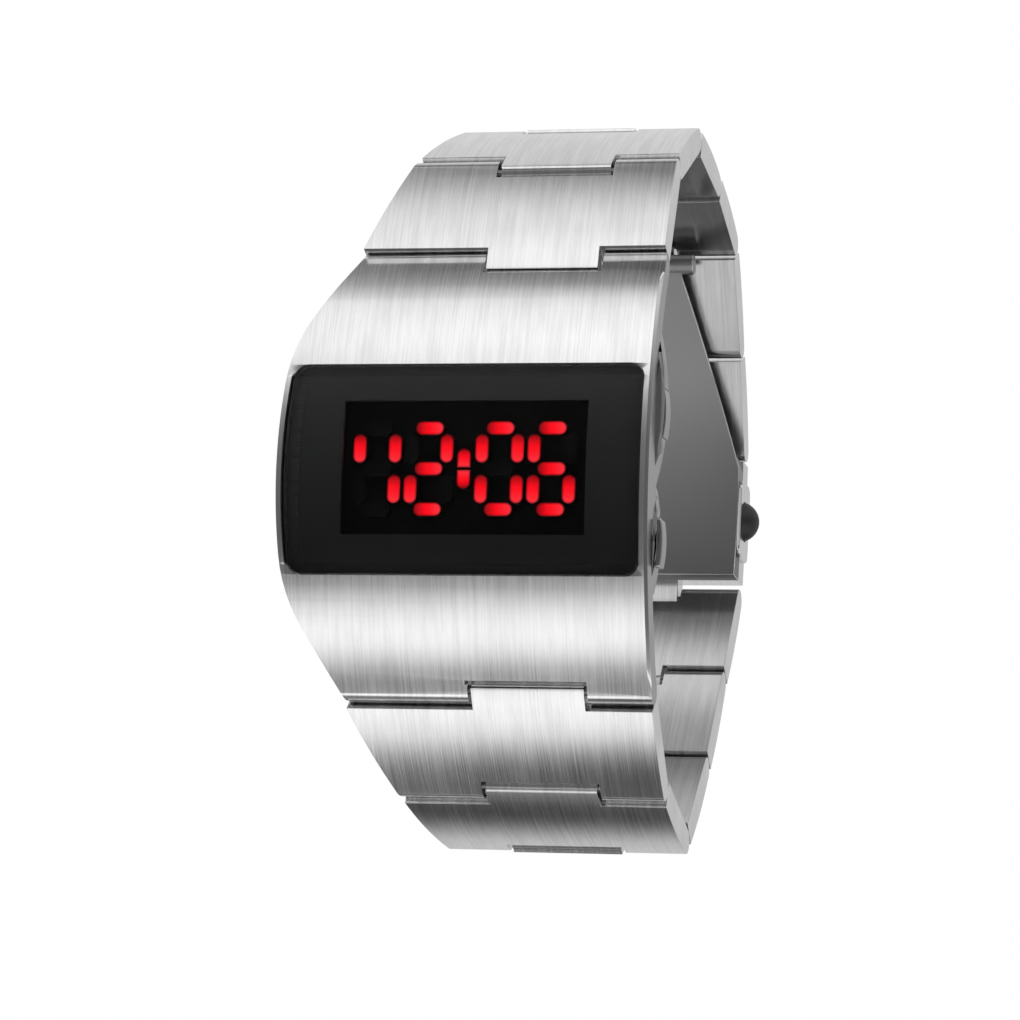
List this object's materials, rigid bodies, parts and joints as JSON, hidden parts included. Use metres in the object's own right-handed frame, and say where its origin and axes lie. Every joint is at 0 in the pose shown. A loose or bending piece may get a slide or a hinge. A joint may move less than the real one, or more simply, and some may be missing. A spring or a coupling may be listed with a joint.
{
  "type": "led watch",
  "caption": "LED wristwatch: arched case bowed on one side, dark crystal with red bar digits, two guarded side pushers, tabbed link bracelet and fold-over clasp.",
  "frame": {"origin": "middle of the wrist loop: 32 mm behind the crest of the case, on the bracelet's centreline, halfway up the case", "axes": "+Z to twelve o'clock; -Y out of the display; +X to the flank with the pushers (three o'clock)"},
  "size_m": [0.0415, 0.0574, 0.0785],
  "materials": {
    "case_steel": "brushed along the bracelet",
    "lens_black": "polished, tinted almost black",
    "mask_black": "matt",
    "seal_black": "matt",
    "board_green": "matt",
    "led_red": "lit",
    "led_dark": "unlit",
    "frame_grey": "matt",
    "cell_steel": "satin",
    "contact_brass": "plain",
    "link_steel": "brushed along the bracelet",
    "pin_steel": "plain",
    "polished_steel": "polished",
    "button_dark": "darkened"
  },
  "bodies": {
    "case": {"case_shell": "case_steel", "crystal": "lens_black", "crystal_gasket": "seal_black", "display_mask": "mask_black", "led_board": "board_green", "led_bars_lit": "led_red", "led_bars_unlit": "led_dark", "module_frame": "frame_grey", "cell": "cell_steel", "cell_strip": "contact_brass", "back_gasket": "seal_black", "case_back": "case_steel", "back_screws": "pin_steel", "lower_bar_0": "pin_steel"},
    "pusher_upper": {"pusher_upper": "case_steel", "pusher_upper_clip": "pin_steel"},
    "pusher_lower": {"pusher_lower": "case_steel", "pusher_lower_clip": "pin_steel"},
    "clasp": {"clasp_cover": "link_steel", "clasp_base": "polished_steel", "clasp_plates": "link_steel", "fold_pin": "pin_steel"},
    "fold": {"fold_blade": "polished_steel"},
    "button_right": {"clasp_button_right": "button_dark"},
    "button_left": {"clasp_button_left": "button_dark"},
    "lower_1": {"lower_link_1": "link_steel", "lower_pin_1": "pin_steel"},
    "lower_2": {"lower_link_2": "link_steel", "lower_pin_2": "pin_steel"},
    "lower_3": {"lower_link_3": "link_steel", "lower_pin_3": "pin_steel"},
    "lower_4": {"lower_link_4": "link_steel", "lower_pin_4": "pin_steel"},
    "lower_5": {"lower_link_5": "link_steel", "lower_pin_5": "pin_steel"},
    "upper_1": {"upper_link_1": "link_steel", "upper_pin_1": "pin_steel", "upper_bar_0": "pin_steel"},
    "upper_2": {"upper_link_2": "link_steel", "upper_pin_2": "pin_steel"},
    "upper_3": {"upper_link_3": "link_steel", "upper_pin_3": "pin_steel"},
    "upper_4": {"upper_link_4": "link_steel", "upper_pin_4": "pin_steel"},
    "upper_5": {"upper_link_5": "link_steel", "upper_pin_5": "pin_steel"},
    "upper_6": {"upper_link_6": "link_steel", "upper_pin_6": "pin_steel"}
  },
  "joints": [
    {"name": "lower_joint_0", "type": "hinge", "parent": "case", "child": "lower_1", "pos_m": [0, -0.02529, -0.02231], "axis": [-1, 0, 0], "range_deg": [0, 28]},
    {"name": "lower_joint_1", "type": "hinge", "parent": "lower_1", "child": "lower_2", "pos_m": [0, -0.01742, -0.03163], "axis": [-1, 0, 0], "range_deg": [0, 44]},
    {"name": "lower_joint_2", "type": "hinge", "parent": "lower_2", "child": "lower_3", "pos_m": [0, -0.00498, -0.03635], "axis": [-1, 0, 0], "range_deg": [0, 75]},
    {"name": "lower_joint_3", "type": "hinge", "parent": "lower_3", "child": "lower_4", "pos_m": [0, 0.00523, -0.02784], "axis": [-1, 0, 0], "range_deg": [0, 25]},
    {"name": "lower_joint_4", "type": "hinge", "parent": "lower_4", "child": "lower_5", "pos_m": [0, 0.01369, -0.01758], "axis": [-1, 0, 0], "range_deg": [0, 15]},
    {"name": "lower_joint_5", "type": "hinge", "parent": "lower_5", "child": "clasp", "pos_m": [0, 0.02206, -0.00724], "axis": [-1, 0, 0], "range_deg": [0, 48]},
    {"name": "fold_joint", "type": "hinge", "parent": "clasp", "child": "fold", "pos_m": [0, 0.01127, 0.02982], "axis": [1, 0, 0], "range_deg": [0, 165]},
    {"name": "upper_joint_6", "type": "hinge", "parent": "fold", "child": "upper_6", "pos_m": [0, 0.02379, 0.01046], "axis": [1, 0, 0], "range_deg": [-165, 0]},
    {"name": "upper_joint_5", "type": "hinge", "parent": "upper_6", "child": "upper_5", "pos_m": [0, 0.01931, 0.02182], "axis": [-1, 0, 0], "range_deg": [0, 20]},
    {"name": "upper_joint_4", "type": "hinge", "parent": "upper_5", "child": "upper_4", "pos_m": [0, 0.01378, 0.03268], "axis": [-1, 0, 0], "range_deg": [0, 57]},
    {"name": "upper_joint_3", "type": "hinge", "parent": "upper_4", "child": "upper_3", "pos_m": [0, 0.00239, 0.03706], "axis": [-1, 0, 0], "range_deg": [0, 25]},
    {"name": "upper_joint_2", "type": "hinge", "parent": "upper_3", "child": "upper_2", "pos_m": [0, -0.00961, 0.03928], "axis": [-1, 0, 0], "range_deg": [0, 54]},
    {"name": "upper_joint_1", "type": "hinge", "parent": "upper_2", "child": "upper_1", "pos_m": [0, -0.02033, 0.03346], "axis": [-1, 0, 0], "range_deg": [0, 52]},
    {"name": "pusher_upper_slide", "type": "slide", "parent": "case", "child": "pusher_upper", "axis": [-1, 0, 0], "range_m": [0, 0.0005], "stiffness_N_per_m": 600, "springref_m": -0.0005},
    {"name": "pusher_lower_slide", "type": "slide", "parent": "case", "child": "pusher_lower", "axis": [-1, 0, 0], "range_m": [0, 0.0005], "stiffness_N_per_m": 600, "springref_m": -0.0005},
    {"name": "button_right_slide", "type": "slide", "parent": "clasp", "child": "button_right", "axis": [-1, 0, 0], "range_m": [0, 0.0007], "stiffness_N_per_m": 600, "springref_m": -0.0005},
    {"name": "button_left_slide", "type": "slide", "parent": "clasp", "child": "button_left", "axis": [1, 0, 0], "range_m": [0, 0.0007], "stiffness_N_per_m": 600, "springref_m": -0.0005}
  ],
  "couplings": [
    {"joint": "upper_joint_6", "follows": "fold_joint", "ratio": -1}
  ]
}
